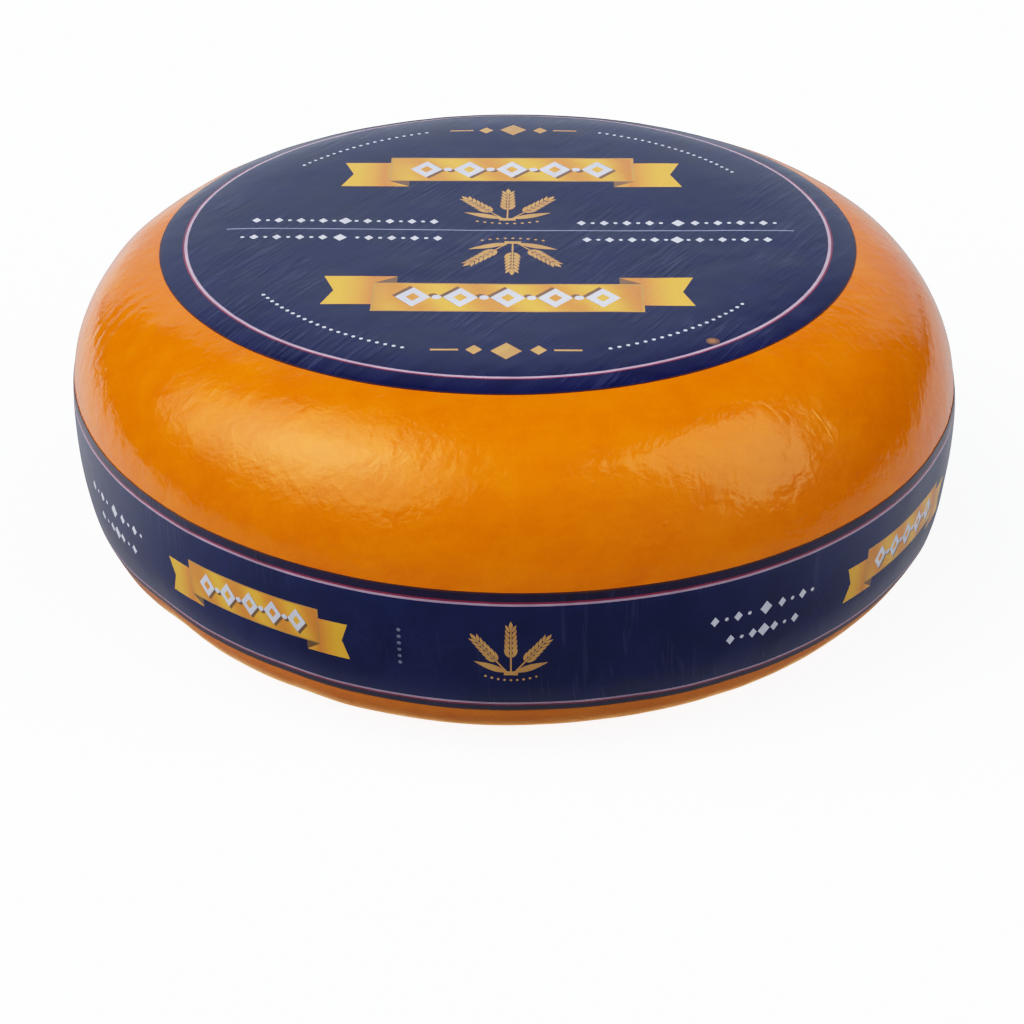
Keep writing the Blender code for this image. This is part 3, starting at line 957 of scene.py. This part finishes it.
INKS = {
    "navy": ink_material("ink_navy", (0.0050, 0.0062, 0.044), (0.0076, 0.0092, 0.060),
                         ((0.060, 0.016, 0.015), (0.016, 0.0080, 0.030))),
    "deep": ink_material("ink_navy_band", (0.0054, 0.0098, 0.060), (0.0078, 0.0132, 0.078)),
    "plum": ink_material("ink_navy_brushed", (0.0125, 0.0070, 0.032), (0.0175, 0.0090, 0.042),
                         ((0.072, 0.024, 0.012), (0.032, 0.013, 0.020))),
    "red": ink_material("ink_red", (0.18, 0.018, 0.048), (0.24, 0.026, 0.062)),
    "pink": ink_material("ink_pale_pink", (0.43, 0.31, 0.42), (0.52, 0.39, 0.50)),
    "faint": ink_material("ink_faint_pink", (0.37, 0.25, 0.36), (0.45, 0.32, 0.44)),
    "pale": ink_material("ink_pale_line", (0.22, 0.25, 0.40), (0.28, 0.31, 0.46)),
    "white": ink_material("ink_white", (0.60, 0.63, 0.76), (0.70, 0.73, 0.84)),
    "dim": ink_material("ink_dim", (0.15, 0.16, 0.27), (0.20, 0.21, 0.32)),
    "gold": gold_material(),
    "rim": ink_material("ink_gold_edge", (0.50, 0.25, 0.055), (0.60, 0.32, 0.070)),
    "fold": ink_material("ink_gold_shadow", (0.16, 0.085, 0.045), (0.22, 0.12, 0.055)),
    "line": ink_material("ink_gold_line", (0.52, 0.270, 0.088), (0.62, 0.35, 0.112)),
    "stain": ink_material("ink_stain", (0.13, 0.065, 0.050), (0.18, 0.085, 0.055)),
    "spot": ink_material("ink_spot", (0.28, 0.13, 0.055), (0.36, 0.17, 0.065)),
}

rind = wheel_mesh(rind_material())
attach(rind, "root")
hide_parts("wheel")

label = top_label(INKS)
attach(label, "root")
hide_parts("top_label")

band = side_band(INKS)
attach(band, "root")
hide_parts("side_band")

# ---------------------------------------------------------------- floor, lights, camera

bpy.ops.mesh.primitive_plane_add(size=14.0, location=(0.0, 0.0, -0.0002))
floor = bpy.context.active_object
floor.name = "floor"
floor.data.materials.append(floor_material())


world = bpy.data.worlds.new("studio")
bpy.context.scene.world = world
world.use_nodes = True
wt = world.node_tree
wt.nodes.clear()
w_out = wt.nodes.new("ShaderNodeOutputWorld")
w_bg = wt.nodes.new("ShaderNodeBackground")
w_cam = wt.nodes.new("ShaderNodeBackground")
w_mix = wt.nodes.new("ShaderNodeMixShader")
w_path = wt.nodes.new("ShaderNodeLightPath")
w_co = wt.nodes.new("ShaderNodeTexCoord")
w_sep = wt.nodes.new("ShaderNodeSeparateXYZ")
wt.links.new(w_co.outputs["Generated"], w_sep.inputs[0])


def wmath(op, a, b=0.0, clamp=False):
    m = wt.nodes.new("ShaderNodeMath")
    m.operation = op
    m.use_clamp = clamp
    for i, v in enumerate((a, b)):
        if isinstance(v, bpy.types.NodeSocket):
            wt.links.new(v, m.inputs[i])
        else:
            m.inputs[i].default_value = v
    return m.outputs[0]


def wrange(v, a, b, lo, hi):
    m = wt.nodes.new("ShaderNodeMapRange")
    m.interpolation_type = "SMOOTHSTEP"
    wt.links.new(v, m.inputs["Value"])
    for k, x in (("From Min", a), ("From Max", b), ("To Min", lo), ("To Max", hi)):
        m.inputs[k].default_value = x
    return m.outputs[0]


wx, wy, wz = w_sep.outputs[0], w_sep.outputs[1], w_sep.outputs[2]
az = wmath("MULTIPLY", wmath("ARCTAN2", wx, wmath("MULTIPLY", wy, -1.0)), 180 / math.pi)     # from -Y towards +X
el = wmath("MULTIPLY", wmath("ARCSINE", wz), 180 / math.pi)


def panel(azimuth, elevation, edges, soft, base, hot, centre, spread):
    """Radiance of a flat soft light that faces the wheel: straight edges (a, b, c: where a*u + b*v < c in its own
    plane, seen from one unit away), even but for a brighter middle."""
    a, e = math.radians(azimuth), math.radians(elevation)
    way = Vector((math.cos(e) * math.sin(a), -math.cos(e) * math.cos(a), math.sin(e)))
    across = Vector((0.0, 0.0, 1.0)).cross(way).normalized()
    parts = []
    for axis in (way, across, way.cross(across)):
        m = wt.nodes.new("ShaderNodeVectorMath")
        m.operation = "DOT_PRODUCT"
        wt.links.new(w_co.outputs["Generated"], m.inputs[0])
        m.inputs[1].default_value = axis
        parts.append(m.outputs["Value"])
    ahead = wmath("MAXIMUM", parts[0], 0.05)
    u, v = wmath("DIVIDE", parts[1], ahead), wmath("DIVIDE", parts[2], ahead)
    du = wmath("DIVIDE", wmath("SUBTRACT", u, centre[0]), spread[0])
    dv = wmath("DIVIDE", wmath("SUBTRACT", v, centre[1]), spread[1])
    away = wmath("ADD", wmath("MULTIPLY", du, du), wmath("MULTIPLY", dv, dv))
    value = wmath("ADD", wmath("MULTIPLY", wmath("EXPONENT", wmath("MULTIPLY", away, -1.0)), hot), base)
    for p, q, limit in edges:
        run = wmath("ADD", wmath("MULTIPLY", u, p), wmath("MULTIPLY", v, q))
        value = wmath("MULTIPLY", value, wrange(run, limit - soft, limit + soft, 1.0, 0.0))
    return wmath("MULTIPLY", value, wrange(parts[0], 0.05, 0.15, 0.0, 1.0))


# the big soft light on the left, hot in its middle, and the plainer one on the right, wider at its top
left = panel(-70.0, 48.0, ((-1.0, 0.0, 0.60), (0.0, -1.0, 0.585), (0.41, -0.91, 0.775), (1.0, 0.0, 0.80),
                           (0.51, 0.86, 0.52), (0.0, 1.0, 0.63)), 0.22, 2.49, 4.74, (0.034, 0.012), (0.305, 0.367))
right = panel(72.0, 38.0, ((-1.0, 0.0, 0.35), (0.0, -1.0, 0.60), (0.936, -0.353, 0.285), (0.0, 1.0, 0.56)),
              0.075, 2.58, 0.58, (0.0, 0.0), (0.20, 0.25))
# the white backdrop behind the wheel: its top slants up towards the left
round_back = wmath("ADD", az, wmath("SUBTRACT", 180.0, wmath("MULTIPLY", wmath("GREATER_THAN", az, 0.0), 360.0)))
top = wmath("SUBTRACT", el, wmath("MULTIPLY", wmath("MAXIMUM", round_back, -8.0), 0.30))
wall = wmath("MULTIPLY", wrange(round_back, 36.5, 45.5, 1.0, 0.0), wrange(round_back, -50.5, -41.0, 0.0, 1.0))
wall = wmath("MULTIPLY", wall, wrange(top, 25.0, 41.0, 1.0, 0.0))
wall = wmath("MULTIPLY", wall, wrange(wmath("ADD", el, wmath("MULTIPLY", round_back, 2.2)), 98.0, 108.0, 1.0, 0.0))
wall = wmath("MULTIPLY", wall, wrange(wmath("ABSOLUTE", round_back), 8.0, 42.0, 0.80, 0.74))
wall = wmath("MULTIPLY", wall, wrange(el, -1.0, 12.0, 1.0, 0.79))
wall = wmath("MULTIPLY", wall, wrange(round_back, -38.0, 4.0, 0.92, 1.0))
w_left = wt.nodes.new("ShaderNodeBackground")
w_left.inputs["Color"].default_value = (1.0, 1.0, 1.0, 1.0)
# a faint glow of the room on the camera's side
room = wmath("MULTIPLY", wrange(wmath("MULTIPLY", wy, -1.0), -0.15, 0.30, 0.0, 0.24), wrange(wx, 0.0, 0.80, 0.12, 1.0))
wt.links.new(wmath("ADD", wmath("ADD", left, right), room), w_left.inputs["Strength"])
w_sum = wt.nodes.new("ShaderNodeAddShader")
wt.links.new(wall, w_bg.inputs["Strength"])
w_bg.inputs["Color"].default_value = (0.88, 1.0, 1.20, 1.0)
wt.links.new(w_bg.outputs[0], w_sum.inputs[0])
wt.links.new(w_left.outputs[0], w_sum.inputs[1])
w_cam.inputs["Color"].default_value = (1.0, 1.0, 1.0, 1.0)
w_cam.inputs["Strength"].default_value = 1.6
wt.links.new(w_path.outputs["Is Camera Ray"], w_mix.inputs[0])
wt.links.new(w_sum.outputs[0], w_mix.inputs[1])
wt.links.new(w_cam.outputs[0], w_mix.inputs[2])
wt.links.new(w_mix.outputs[0], w_out.inputs[0])

# The camera: 5.5 wheel radii off, looking down at 27.6 degrees, 84 mm lens on a 36 mm frame.
ELEVATION, AWAY = math.radians(27.63), 5.5
YAW, PITCH, ROLL = 0.001, -0.057, 0.001
eye = Vector((0.0, -AWAY * math.cos(ELEVATION), AWAY * math.sin(ELEVATION) + 0.370)) * RADIUS
forward = Vector((0.0, math.cos(ELEVATION), -math.sin(ELEVATION)))
right = Vector((1.0, 0.0, 0.0))
upward = right.cross(forward)
turn = Matrix.Rotation(YAW, 3, upward)
forward, right = turn @ forward, turn @ right
turn = Matrix.Rotation(PITCH, 3, right)
forward, upward = turn @ forward, turn @ upward
turn = Matrix.Rotation(ROLL, 3, forward)
right, upward = turn @ right, turn @ upward
cam_data = bpy.data.cameras.new("camera")
cam_data.sensor_fit = "HORIZONTAL"
cam_data.sensor_width = 36.0
cam_data.lens = 84.14
cam_data.clip_end = 50.0
camera = bpy.data.objects.new("camera", cam_data)
bpy.context.scene.collection.objects.link(camera)
camera.matrix_world = Matrix(((right.x, upward.x, -forward.x, eye.x), (right.y, upward.y, -forward.y, eye.y),
                              (right.z, upward.z, -forward.z, eye.z), (0, 0, 0, 1)))
bpy.context.scene.camera = camera
bpy.context.scene.view_settings.view_transform = "Standard"
bpy.context.scene.view_settings.look = "None"

# a photographic tone curve: a slight toe, straight middle, long shoulder
view = bpy.context.scene.view_settings
view.use_curve_mapping = True
tone = view.curve_mapping
tone.use_clip = True
tone.clip_min_x, tone.clip_max_x, tone.clip_min_y, tone.clip_max_y = 0.0, 2.0, 0.0, 1.0
line = tone.curves[3]
line.points[0].location = (0.0, 0.0)
line.points[1].location = (2.0, 1.0)
for x, y in ((0.03, 0.022), (0.10, 0.096), (0.25, 0.25), (0.50, 0.50), (0.75, 0.665), (1.0, 0.80), (1.25, 0.905), (1.5, 0.97)):
    line.points.new(x, y)
tone.update()

bpy.context.view_layer.update()
